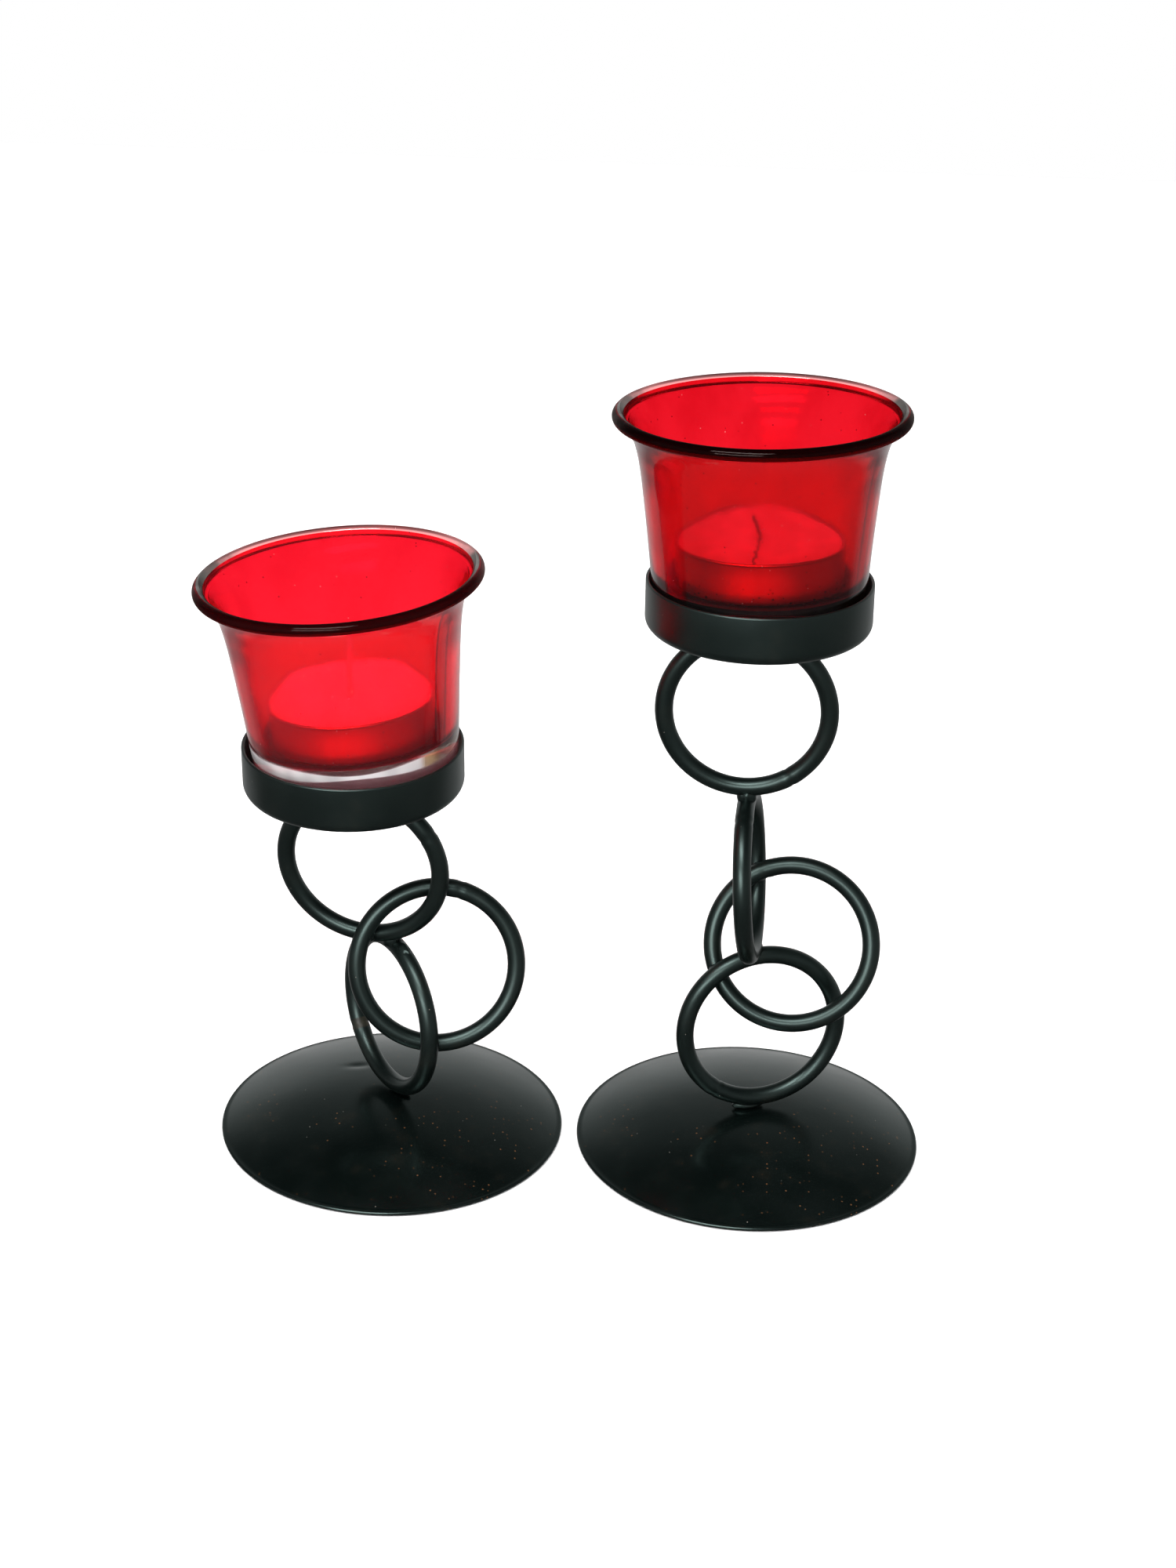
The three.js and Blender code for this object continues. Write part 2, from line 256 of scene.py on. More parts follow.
def wire_line(place, count=360):
    """Points along the middle of a ring's wire, in millimetres."""
    angles = np.linspace(0, 2 * math.pi, count, endpoint=False)
    flat = np.stack([np.cos(angles), np.sin(angles), np.zeros(count)], 1) * RING_RADIUS
    turn = np.array(place.to_3x3())
    return flat @ turn.T + np.array(place.translation) / MM


def meeting_point(place_a, place_b):
    """The point midway between two rings where their wires come closest, in millimetres."""
    a, b = wire_line(place_a), wire_line(place_b)
    gaps = np.linalg.norm(a[:, None] - b[None], axis=2)
    i, j = np.unravel_index(gaps.argmin(), gaps.shape)
    return Vector((a[i] + b[j]) / 2)


# ---------------------------------------------------------------- meshes

def add_object(name, verts, faces, place, looks, face_looks=None):
    """A smooth mesh object. verts are millimetres in the frame of place."""
    mesh = bpy.data.meshes.new(name)
    mesh.from_pydata([tuple(c * MM for c in v) for v in verts], [], faces)
    for look in looks:
        mesh.materials.append(look)
    mesh.polygons.foreach_set("use_smooth", [True] * len(mesh.polygons))
    if face_looks:
        mesh.polygons.foreach_set("material_index", face_looks)
    mesh.update()
    made = bpy.data.objects.new(name, mesh)
    bpy.context.scene.collection.objects.link(made)
    made.matrix_world = place
    return made


def arc(radius, height, r, start, end, steps):
    """Points of an arc about (radius, height), angles in degrees."""
    angles = [math.radians(start + (end - start) * i / steps) for i in range(steps + 1)]
    return [(radius + r * math.cos(a), height + r * math.sin(a)) for a in angles]


def smooth_line(points, steps):
    """A Catmull-Rom curve through points of any dimension."""
    p = [np.array(q, float) for q in points]
    p = [2 * p[0] - p[1]] + p + [2 * p[-1] - p[-2]]
    made = []
    for i in range(1, len(p) - 2):
        for t in np.linspace(0, 1, steps, endpoint=False):
            a = 2 * p[i]
            b = p[i + 1] - p[i - 1]
            c = 2 * p[i - 1] - 5 * p[i] + 4 * p[i + 1] - p[i + 2]
            d = -p[i - 1] + 3 * p[i] - 3 * p[i + 1] + p[i + 2]
            made.append(tuple((a + b * t + c * t * t + d * t ** 3) / 2))
    return made + [tuple(p[-2])]


def turned(name, outline, place, sides, looks, line_looks=None, shape=None):
    """A body turned round the Z axis of place from (radius, height) points that start and end on the axis.

    line_looks gives the material index of each stretch of the outline, and shape moves a point.
    """
    verts, rows = [], []
    for radius, height in outline:
        count = 1 if radius < 1e-6 else sides
        rows.append(range(len(verts), len(verts) + count))
        for i in range(count):
            a = 2 * math.pi * i / sides
            point = Vector((radius * math.cos(a), radius * math.sin(a), height))
            verts.append(shape(point) if shape else point)
    faces, face_looks = [], []
    for k in range(len(rows) - 1):
        low, high = rows[k], rows[k + 1]
        for i in range(sides):
            j = (i + 1) % sides
            if len(low) == 1:
                face = (low[0], high[j], high[i])
            elif len(high) == 1:
                face = (low[i], low[j], high[0])
            else:
                face = (low[i], low[j], high[j], high[i])
            faces.append(face)
            face_looks.append(line_looks[k] if line_looks else 0)
    return add_object(name, verts, faces, place, looks, face_looks)


def swept(points, radii, sides, closed=False):
    """Vertices and faces of a tube of changing radius along points."""
    line = [Vector(p) for p in points]
    count = len(line)
    verts, faces = [], []
    side = None
    for i, point in enumerate(line):
        before = line[i - 1] if closed or i else line[0]
        after = line[(i + 1) % count] if closed or i < count - 1 else line[-1]
        along = (after - before).normalized()
        if side is None:
            side = along.orthogonal().normalized()
        side = (side - along * side.dot(along)).normalized()
        up = along.cross(side)
        for k in range(sides):
            a = 2 * math.pi * k / sides
            verts.append(point + (side * math.cos(a) + up * math.sin(a)) * radii[i])
    for i in range(count if closed else count - 1):
        j = (i + 1) % count
        for k in range(sides):
            m = (k + 1) % sides
            faces.append((i * sides + k, i * sides + m, j * sides + m, j * sides + k))
    if not closed:
        faces.append(tuple(range(sides))[::-1])
        faces.append(tuple((count - 1) * sides + k for k in range(sides)))
    return verts, faces


# ---------------------------------------------------------------- material nodes

def new_look(name, kind="ShaderNodeBsdfPrincipled"):
    """A material with one shader and object coordinates in millimetres."""
    look = bpy.data.materials.new(name)
    look.use_nodes = True
    tree = look.node_tree
    tree.nodes.clear()
    shader = tree.nodes.new(kind)
    output = tree.nodes.new("ShaderNodeOutputMaterial")
    tree.links.new(shader.outputs[0], output.inputs["Surface"])
    place = tree.nodes.new("ShaderNodeTexCoord").outputs["Object"]
    scaled = tree.nodes.new("ShaderNodeVectorMath")
    scaled.operation = "SCALE"
    tree.links.new(place, scaled.inputs[0])
    scaled.inputs["Scale"].default_value = 1 / MM
    return look, tree, shader, scaled.outputs[0]


def axes(tree, vector, names="XYZ"):
    """The named parts of a vector."""
    split = tree.nodes.new("ShaderNodeSeparateXYZ")
    tree.links.new(vector, split.inputs[0])
    return [split.outputs[name] for name in names]


def plug(tree, socket, value):
    """Link a node's output, or set a number or colour."""
    if isinstance(value, bpy.types.NodeSocket):
        tree.links.new(value, socket)
    else:
        socket.default_value = value


def maths(tree, operation, a, b=0.0):
    """One step of arithmetic."""
    made = tree.nodes.new("ShaderNodeMath")
    made.operation = operation
    plug(tree, made.inputs[0], a)
    plug(tree, made.inputs[1], b)
    return made.outputs[0]


def mapped(tree, value, low, high, to_low=0.0, to_high=1.0):
    """value, taken smoothly from low..high to to_low..to_high."""
    made = tree.nodes.new("ShaderNodeMapRange")
    made.interpolation_type = "SMOOTHSTEP"
    plug(tree, made.inputs["Value"], value)
    made.inputs["From Min"].default_value = low
    made.inputs["From Max"].default_value = high
    made.inputs["To Min"].default_value = to_low
    made.inputs["To Max"].default_value = to_high
    return made.outputs[0]


def clouds(tree, place, size, detail=3.0, stretch=None):
    """Noise with features of about size millimetres."""
    if stretch:
        scaled = tree.nodes.new("ShaderNodeVectorMath")
        scaled.operation = "MULTIPLY"
        tree.links.new(place, scaled.inputs[0])
        scaled.inputs[1].default_value = stretch
        place = scaled.outputs[0]
    made = tree.nodes.new("ShaderNodeTexNoise")
    tree.links.new(place, made.inputs["Vector"])
    made.inputs["Scale"].default_value = 1 / size
    made.inputs["Detail"].default_value = detail
    return made.outputs[0]


def specks(tree, place, spacing, size, share):
    """1 on spots about spacing millimetres apart, whose radius is size times the spacing, and 0 between
    them. Only a share of the spots is there.
    """
    made = tree.nodes.new("ShaderNodeTexVoronoi")
    tree.links.new(place, made.inputs["Vector"])
    made.inputs["Scale"].default_value = 1 / spacing
    made.inputs["Randomness"].default_value = 1.0
    split = tree.nodes.new("ShaderNodeSeparateColor")
    tree.links.new(made.outputs["Color"], split.inputs[0])
    spot = mapped(tree, made.outputs["Distance"], size, size * 0.5)
    there = mapped(tree, split.outputs[0], 1 - share, 1 - share + 0.01)
    return maths(tree, "MULTIPLY", spot, there)


def mixed(tree, share, a, b):
    """Colour a where share is 0 and b where it is 1."""
    made = tree.nodes.new("ShaderNodeMix")
    made.data_type = "RGBA"
    plug(tree, made.inputs[0], share)
    for socket, value in ((made.inputs[6], a), (made.inputs[7], b)):
        plug(tree, socket, value if isinstance(value, bpy.types.NodeSocket) else (*value, 1.0))
    return made.outputs[2]


def bumps(tree, shader, *layers):
    """Bump from (height, depth in millimetres) layers."""
    normal = None
    for height, depth in layers:
        made = tree.nodes.new("ShaderNodeBump")
        made.inputs["Strength"].default_value = 1.0
        made.inputs["Distance"].default_value = depth * MM
        tree.links.new(height, made.inputs["Height"])
        if normal:
            tree.links.new(normal, made.inputs["Normal"])
        normal = made.outputs[0]
    tree.links.new(normal, shader.inputs["Normal"])


# ---------------------------------------------------------------- materials

def black_paint(name, smooth, dull, rusty):
    """Black paint with a slight green-blue cast, orange peel, dust, and patches whose roughness goes
    from smooth to dull. rusty is the share of places that have a rust speck.
    """
    look, tree, shader, place = new_look(name)
    patches = clouds(tree, place, size=14)
    grain = clouds(tree, place, size=0.9, detail=4)
    colour = mixed(tree, mapped(tree, patches, 0.35, 0.7), PAINT_DARK, PAINT_PALE)
    brown = mapped(tree, clouds(tree, place, size=7, detail=4), 0.55, 0.75, to_high=0.5)
    colour = mixed(tree, brown, colour, PAINT_BROWN)
    dust = specks(tree, place, spacing=2.6, size=0.055, share=0.16)
    colour = mixed(tree, dust, colour, DUST)
    worn = mapped(tree, clouds(tree, place, size=12, detail=2), 0.50, 0.62)
    rust = maths(tree, "MULTIPLY", specks(tree, place, spacing=1.1, size=0.24, share=rusty), worn)
    colour = mixed(tree, rust, colour, RUST)
    plug(tree, shader.inputs["Base Color"], colour)
    rough = mapped(tree, patches, 0.3, 0.7, smooth, dull)
    rough = maths(tree, "ADD", rough, maths(tree, "MULTIPLY", dust, 0.5))
    plug(tree, shader.inputs["Roughness"], rough)
    shader.inputs["Specular IOR Level"].default_value = 0.85
    shader.inputs["Specular Tint"].default_value = PAINT_SHINE
    peel = clouds(tree, place, size=5, detail=2)
    bumps(tree, shader, (grain, 0.003), (peel, 0.02), (dust, 0.05))
    return look


def scuffed_paint():
    """Paint rubbed brown and grey where a joint in the wire was ground."""
    look, tree, shader, place = new_look("scuffed_paint")
    streaks = clouds(tree, place, size=1.2, detail=4, stretch=(1, 1, 0.5))
    colour = mixed(tree, mapped(tree, streaks, 0.35, 0.65), SCUFF_BROWN, SCUFF_GREY)
    plug(tree, shader.inputs["Base Color"], colour)
    plug(tree, shader.inputs["Roughness"], mapped(tree, streaks, 0.3, 0.7, 0.35, 0.6))
    bumps(tree, shader, (streaks, 0.05))
    return look


def let_lamps_through(look, tint):
    """Lamps shine through this glass, tinted, in place of the dark shadow that bent light would leave."""
    tree = look.node_tree
    output = tree.nodes["Material Output"]
    surface = output.inputs["Surface"].links[0].from_socket
    clear = tree.nodes.new("ShaderNodeBsdfTransparent")
    clear.inputs["Color"].default_value = (*tint, 1.0)
    path = tree.nodes.new("ShaderNodeLightPath")
    mix = tree.nodes.new("ShaderNodeMixShader")
    tree.links.new(path.outputs["Is Shadow Ray"], mix.inputs[0])
    tree.links.new(surface, mix.inputs[1])
    tree.links.new(clear.outputs[0], mix.inputs[2])
    tree.links.new(mix.outputs[0], output.inputs["Surface"])


def add_haze(look, shader, kind, colour, share):
    """Mix a scattering shader into the glass."""
    tree = look.node_tree
    glow = tree.nodes.new(kind)
    plug(tree, glow.inputs["Color"], colour)
    cloudy = tree.nodes.new("ShaderNodeMixShader")
    plug(tree, cloudy.inputs[0], share)
    tree.links.new(shader.outputs[0], cloudy.inputs[1])
    tree.links.new(glow.outputs[0], cloudy.inputs[2])
    tree.links.new(cloudy.outputs[0], tree.nodes["Material Output"].inputs["Surface"])


def clear_glass(name, foot_tint, haze):
    """Clear moulded glass with faint ripples, smears and frost specks, and a foot of its own tint, which
    on the tall glass is painted shade. haze is the share of light that it scatters above the height of its
    floor, below that height, and in a band just under it, which is thinnest in front and ends in a
    brown mark on the right. The haze's pink is painted light, the stain's red light in the foot, and
    the band's pale middle is painted light for light that comes through the foot.
    """
    above, below, in_band = haze
    look, tree, shader, place = new_look(name, "ShaderNodeBsdfGlass")
    shader.inputs["IOR"].default_value = GLASS_IOR
    x, z = axes(tree, place, "XZ")
    smear = mapped(tree, clouds(tree, place, size=9, stretch=(1, 1, 0.4)), 0.5, 0.75)
    frost = specks(tree, place, spacing=1.7, size=0.07, share=0.12)
    # On the tall glass the foot's tint is painted shade, where it sits down in its pan.
    in_foot = mapped(tree, z, GLASS_FLOOR + 0.5, GLASS_FLOOR - 1.5)
    colour = mixed(tree, in_foot, CLEAR_TINT, foot_tint)
    plug(tree, shader.inputs["Color"], mixed(tree, frost, colour, FROST))
    rough = maths(tree, "ADD", maths(tree, "MULTIPLY", smear, 0.05),
                  maths(tree, "MULTIPLY", frost, 0.5))
    plug(tree, shader.inputs["Roughness"], rough)
    bumps(tree, shader, (clouds(tree, place, size=6, detail=1), 0.03), (frost, 0.04))
    scattered = mapped(tree, z, GLASS_FLOOR + 1, GLASS_FLOOR - 1, above, below)
    off_band = maths(tree, "ABSOLUTE", maths(tree, "SUBTRACT", z, BAND_HEIGHT))
    off_front = maths(tree, "ABSOLUTE", maths(tree, "SUBTRACT", x, BAND_THINNEST_X))
    width = mapped(tree, off_front, 0, BAND_MARK_X, 0.5, 1.6)
    off_band = maths(tree, "DIVIDE", off_band, width)
    # Painted light: the band's pale middle stands in for light coming through the foot, the pink round it
    # for the stain's red light.
    lit_band = mapped(tree, off_band, 1.3, 0.7, 0.0, in_band)
    lit_band = maths(tree, "MULTIPLY", lit_band, mapped(tree, x, BAND_MARK_X + 3.5, BAND_MARK_X + 0.5))
    uneven = mapped(tree, clouds(tree, place, size=9, detail=1), 0.35, 0.65, 0.8, 1.2)
    share = maths(tree, "MULTIPLY", maths(tree, "MAXIMUM", scattered, lit_band), uneven)
    band = mixed(tree, mapped(tree, x, BAND_MARK_X - 2, BAND_MARK_X), BAND_PAINTED_LIGHT, HAZE_BROWN)
    colour = mixed(tree, mapped(tree, off_band, 1.3, 0.7), HAZE_PAINTED_RED_LIGHT, band)
    add_haze(look, shader, "ShaderNodeBsdfDiffuse", colour, share)
    let_lamps_through(look, CLEAR_SHADOW)
    return look


def bead_with_painted_shade(name):
    """The rim's bead, painted shade and light for how it bends and mirrors light: nearly black in front,
    grey at the sides and pale pink at the back.
    """
    look, tree, shader, place = new_look(name, "ShaderNodeBsdfGlass")
    shader.inputs["IOR"].default_value = BEAD_IOR
    wander = mapped(tree, clouds(tree, place, size=7), 0.3, 0.7, -4, 4)
    back = maths(tree, "ADD", axes(tree, place, "Y")[0], wander)
    colour = mixed(tree, mapped(tree, back, -14, 5), BEAD_FRONT_SHADE, BEAD_SIDE_SHADE)
    colour = mixed(tree, mapped(tree, back, 5, 19), colour, BEAD_BACK_LIGHT)
    plug(tree, shader.inputs["Color"], colour)
    frost = specks(tree, place, spacing=1.7, size=0.07, share=0.12)
    plug(tree, shader.inputs["Roughness"], maths(tree, "MULTIPLY", frost, 0.5))
    bumps(tree, shader, (clouds(tree, place, size=6, detail=1), 0.03), (frost, 0.04))
    let_lamps_through(look, CLEAR_SHADOW)
    return look


def red_film(name, tint, deep, shadow, haze, sooty, run_at):
    """The translucent red stain fired on the inside, uneven from tint to deep, with pinholes, soot
    specks that are thicker near the floor by the share sooty, painted shade that darkens it just above
    the floor round the tealight, and a run of stain that is run_at degrees to the right of the front.
    Lamps shine through it tinted shadow.
    """
    look, tree, shader, place = new_look(name, "ShaderNodeBsdfGlass")
    shader.inputs["IOR"].default_value = GLASS_IOR
    x, y, z = axes(tree, place)
    uneven = mapped(tree, clouds(tree, place, size=11, detail=4, stretch=(1, 1, 0.6)), 0.35, 0.75)
    colour = mixed(tree, uneven, tint, deep)
    soot = specks(tree, place, spacing=1.5, size=0.13, share=0.20)
    low = mapped(tree, z, GLASS_FLOOR + 8, GLASS_FLOOR + 1, 0.0, sooty)
    low_soot = maths(tree, "MULTIPLY", specks(tree, place, spacing=1.2, size=0.26, share=0.7), low)
    colour = mixed(tree, maths(tree, "MAXIMUM", soot, low_soot), colour, SOOT)
    turn = maths(tree, "ARCTAN2", x, maths(tree, "MULTIPLY", y, -1.0))
    turn = maths(tree, "MULTIPLY", turn, 180 / math.pi)
    from_run = maths(tree, "ABSOLUTE", maths(tree, "SUBTRACT", turn, run_at))
    from_edge = maths(tree, "ABSOLUTE", maths(tree, "SUBTRACT", from_run, RUN_HALF))
    run = maths(tree, "MAXIMUM", mapped(tree, from_run, RUN_HALF + 1.5, RUN_HALF - 0.5, 0.0, 0.35),
                mapped(tree, from_edge, 1.5, 0.3, 0.0, 0.8))
    colour = mixed(tree, run, colour, STAIN_RUN)
    # Painted shade: darker just above the floor, in the corner round the tealight.
    floor_shade = mapped(tree, z, GLASS_FLOOR + 2.6, GLASS_FLOOR + 0.8, to_high=0.92)
    colour = mixed(tree, floor_shade, colour, FLOOR_SHADE_RED)
    pinholes = specks(tree, place, spacing=1.9, size=0.08, share=0.20)
    plug(tree, shader.inputs["Color"], mixed(tree, pinholes, colour, PINHOLE))
    plug(tree, shader.inputs["Roughness"], mapped(tree, uneven, 0, 1, 0.11, 0.17))
    grain = clouds(tree, place, size=0.8)
    waves = clouds(tree, place, size=7, detail=2)
    bumps(tree, shader, (grain, 0.01), (waves, 0.05))
    add_haze(look, shader, "ShaderNodeBsdfTranslucent", STAIN_GLOW, haze)
    let_lamps_through(look, shadow)
    return look


def foil_metal():
    """Thin pressed aluminium with rolling lines and small dents."""
    look, tree, shader, place = new_look("tealight_foil")
    lines = clouds(tree, place, size=0.5, detail=2, stretch=(1, 1, 0.08))
    dents = clouds(tree, place, size=6, detail=2)
    shader.inputs["Metallic"].default_value = 1.0
    plug(tree, shader.inputs["Base Color"], mixed(tree, lines, FOIL_DARK, FOIL_PALE))
    plug(tree, shader.inputs["Roughness"], mapped(tree, lines, 0.3, 0.7, 0.36, 0.44))
    bumps(tree, shader, (lines, 0.003), (dents, 0.06))
    return look


def candle_wax(name, dull, pale, cracked):
    """Paraffin wax, dull with a pale bloom, a pitted top and, if cracked, a hairline crack from the
    wick to the front edge.
    """
    look, tree, shader, place = new_look(name)
    bloom = clouds(tree, place, size=5, detail=4)
    colour = mixed(tree, mapped(tree, bloom, 0.3, 0.75), dull, pale)
    pits = clouds(tree, place, size=0.6)
    layers = [(pits, 0.03), (bloom, 0.15)]
    if cracked:
        x, y = axes(tree, place, "XY")
        wander = maths(tree, "SUBTRACT", clouds(tree, place, size=3), 0.5)
        wander = maths(tree, "MULTIPLY", wander, 3.0)
        line = maths(tree, "ADD", wander, maths(tree, "MULTIPLY", y, 0.10))
        off_line = maths(tree, "ABSOLUTE", maths(tree, "SUBTRACT", x, line))
        in_front = mapped(tree, y, 0.0, -1.0)
        crack = maths(tree, "MULTIPLY", mapped(tree, off_line, 0.34, 0.14), in_front)
        colour = mixed(tree, crack, colour, WAX_CRACK)
        layers.append((maths(tree, "SUBTRACT", 1.0, crack), 0.25))
    plug(tree, shader.inputs["Base Color"], colour)
    shader.inputs["Subsurface Weight"].default_value = 0.25
    shader.inputs["Subsurface Radius"].default_value = (0.003, 0.0024, 0.002)
    shader.inputs["Subsurface Scale"].default_value = 1.0
    plug(tree, shader.inputs["Roughness"], mapped(tree, bloom, 0.3, 0.7, 0.38, 0.55))
    bumps(tree, shader, *layers)
    return look


def wick_cotton(name, low, high, char_from, char_to):
    """Braided cotton whose colour goes from low to high between two heights, where it has burnt."""
    look, tree, shader, place = new_look(name)
    fibres = clouds(tree, place, size=0.25, detail=4, stretch=(1, 1, 0.3))
    burnt = mapped(tree, axes(tree, place, "Z")[0], char_from, char_to)
    colour = mixed(tree, burnt, low, high)
    colour = mixed(tree, mapped(tree, fibres, 0.3, 0.7, to_high=0.5), colour, WICK_SHADE)
    plug(tree, shader.inputs["Base Color"], colour)
    plug(tree, shader.inputs["Roughness"], mapped(tree, fibres, 0.3, 0.7, 0.75, 1.0))
    bumps(tree, shader, (fibres, 0.12))
    return look


# ---------------------------------------------------------------- painted steel

def finish_piece(piece, body, slot, *nodes):
    """Say which body a piece rides and which CAD nodes it replaces. The slot it is given is not used."""
    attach(piece, body)
    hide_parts(*nodes)


def dome(radius, rise, floor, steps):
    """Points on a dome from its edge to its top."""
    sphere = (radius * radius + rise * rise) / (2 * rise)
    half = math.asin(radius / sphere)
    made = []
    for i in range(steps + 1):
        a = half * (1 - i / steps)
        made.append((sphere * math.sin(a), floor + rise - sphere * (1 - math.cos(a))))
    return made


def base_disc(prefix, look):
    """Pressed dome with a flat rounded edge, not quite even, as a pressing is."""
    place = turning_frame(prefix + "_base_disc")
    seed = Vector((DISC_SEED[prefix], 0, 0))
    dent = BASE_DENT[prefix]

    def shape(point):
        if point.z < BASE_SHEET + 0.01:
            return point
        swell = noise.noise(point / 16 + seed) * BASE_SWELL
        if dent:
            across = (point.x - dent[0]) ** 2 / BASE_DENT_SPREAD[0]
            spread = across + (point.y - dent[1]) ** 2 / BASE_DENT_SPREAD[1]
            swell -= BASE_DENT_DEPTH * math.exp(-spread)
        return point + Vector((0, 0, swell * min(1, (point.z - BASE_SHEET) / 2)))

    rise = BASE_RISE - BASE_SHEET
    half = BASE_SHEET / 2
    outline = [
        *dome(BASE_DOME_RADIUS - 0.4, rise, 0, 40)[::-1],
        *arc(BASE_RADIUS - half, half, half, -90, 90, 12),
        *dome(BASE_DOME_RADIUS, rise, BASE_SHEET, 70),
    ]
    piece = turned(prefix + "_base_painted", outline, place, DISC_SIDES, [look], shape=shape)
    finish_piece(piece, prefix + "_holder", "black_paint", prefix + "_base_disc")


def ring(prefix, node, place, seam_at, looks):
    """Bent wire whose ends meet in a ground butt joint, seen as a shallow groove. A second look is the
    scuffed paint beside the joint.
    """
    points, radii = [], []
    for i in range(RING_SIDES):
        a = 2 * math.pi * i / RING_SIDES
        off = (math.degrees(a) - seam_at + 180) % 360 - 180
        radius = RING_RADIUS * (1 + RING_BEND * math.sin(2 * a + seam_at))
        points.append((radius * math.cos(a), radius * math.sin(a), 0))
        groove = SEAM_DEPTH * math.exp(-(off / 1.6) ** 2)
        swell = SEAM_SWELL * math.exp(-(off / 7) ** 2)
        radii.append(WIRE_RADIUS + PAINT_BUILD_UP + swell - groove)
    verts, faces = swept(points, radii, WIRE_SIDES, closed=True)
    seam_step = round(seam_at / 360 * RING_SIDES)
    scuffed = range(seam_step - 2, seam_step + 2) if len(looks) > 1 else ()
    face_looks = [1 if k // WIRE_SIDES in scuffed else 0 for k in range(len(faces))]
    piece = add_object(node + "_painted", verts, faces, place, looks, face_looks)
    finish_piece(piece, prefix + "_holder", "black_paint", node)


def blob(name, place, size, look, seed):
    """A lump of weld metal, ellipsoid at heart, with ripples. size is its half size along each axis."""
    rows, sides = WELD_ROWS, WELD_SIDES
    verts, faces = [Vector((0, 0, 1))], []
    for i in range(1, rows):
        for k in range(sides):
            lat, lon = math.pi * i / rows, 2 * math.pi * k / sides
            verts.append(Vector((math.sin(lat) * math.cos(lon), math.sin(lat) * math.sin(lon),
                                 math.cos(lat))))
    verts.append(Vector((0, 0, -1)))
    for k in range(sides):
        m = (k + 1) % sides
        faces.append((0, 1 + k, 1 + m))
        last = 1 + (rows - 2) * sides
        faces.append((len(verts) - 1, last + m, last + k))
        for i in range(rows - 2):
            low, high = 1 + i * sides, 1 + (i + 1) * sides
            faces.append((low + k, high + k, high + m, low + m))
    shaped = []
    for v in verts:
        coarse = noise.noise(v * 1.3 + Vector((seed, 0, 0)))
        fine = noise.noise(v * 3 + Vector((0, seed, 0)))
        v = v * (1 + WELD_LUMPS * (coarse + 0.5 * fine))
        shaped.append(Vector((v.x * size[0], v.y * size[1], v.z * size[2])))
    return add_object(name, shaped, faces, place, [look])


def turned_at(centre, turn):
    """A place with its middle at centre, in millimetres, turned about the vertical."""
    return Matrix.Translation(centre * MM) @ Matrix.Rotation(turn, 4, "Z")


def burr(name, ring_place, spot, look, seed):
    """A run of weld metal that clings to the short holder's foot ring."""
    round_ring, round_wire, out, size = spot
    along = Matrix.Rotation(math.radians(round_ring), 4, "Z")
    about = Matrix.Rotation(math.radians(-round_wire), 4, "Y")
    place = ring_place @ along @ Matrix.Translation((RING_RADIUS * MM, 0, 0)) @ about
    place = place @ Matrix.Translation((out * MM, 0, 0))
    piece = blob(name, place, size, look, seed)
    finish_piece(piece, "short_holder", "black_paint", "short_weld_rings_1_3")


def heading(place):
    """The way a ring's wire runs at its top and bottom, as an angle round Z."""
    normal = place.to_3x3() @ Vector((0, 0, 1))
    return math.atan2(normal.x, -normal.y)


def extreme(place, side):
    """The highest or lowest point of a ring, in millimetres."""
    line = wire_line(place, count=720)
    return Vector(line[(side * line[:, 2]).argmax()]) + Vector((0, 0, side * WIRE_RADIUS))


def welds(prefix, places, look):
    """Weld metal between the rings, under the pan and on the base."""
    for number, (a, b) in enumerate(RING_WELDS[prefix]):
        node = f"{prefix}_weld_rings_{a}_{b}"
        centre = meeting_point(places[a - 1], places[b - 1])
        place = turned_at(centre, turn=number * 0.7)
        piece = blob(node + "_bead", place, RING_WELD_SIZE, look, seed=3.1 * number + 1)
        finish_piece(piece, prefix + "_holder", "black_paint", node)
    if prefix == "short":
        for number, spot in enumerate(BURRS):
            burr(f"short_weld_burr_{number + 1}", places[0], spot, look, seed=12.5 + number)
    foot, top = extreme(places[0], -1), extreme(places[-1], 1)
    place = turned_at(foot + Vector((BASE_WELD_SHIFT[prefix], 0, -0.1)), heading(places[0]))
    piece = blob(f"{prefix}_weld_base_bead", place, BASE_WELD_SIZE, look, seed=5.5)
    finish_piece(piece, prefix + "_holder", "black_paint", prefix + "_weld_base")
    place = turned_at(top, heading(places[-1]))
    piece = blob(f"{prefix}_weld_pan_bead", place, PAN_WELD_SIZE, look, seed=8.5)
    finish_piece(piece, prefix + "_holder", "black_paint", prefix + "_weld_pan")


def widened(point, factor):
    """A point moved out from the Z axis."""
    return Vector((point.x * factor, point.y * factor, point.z))


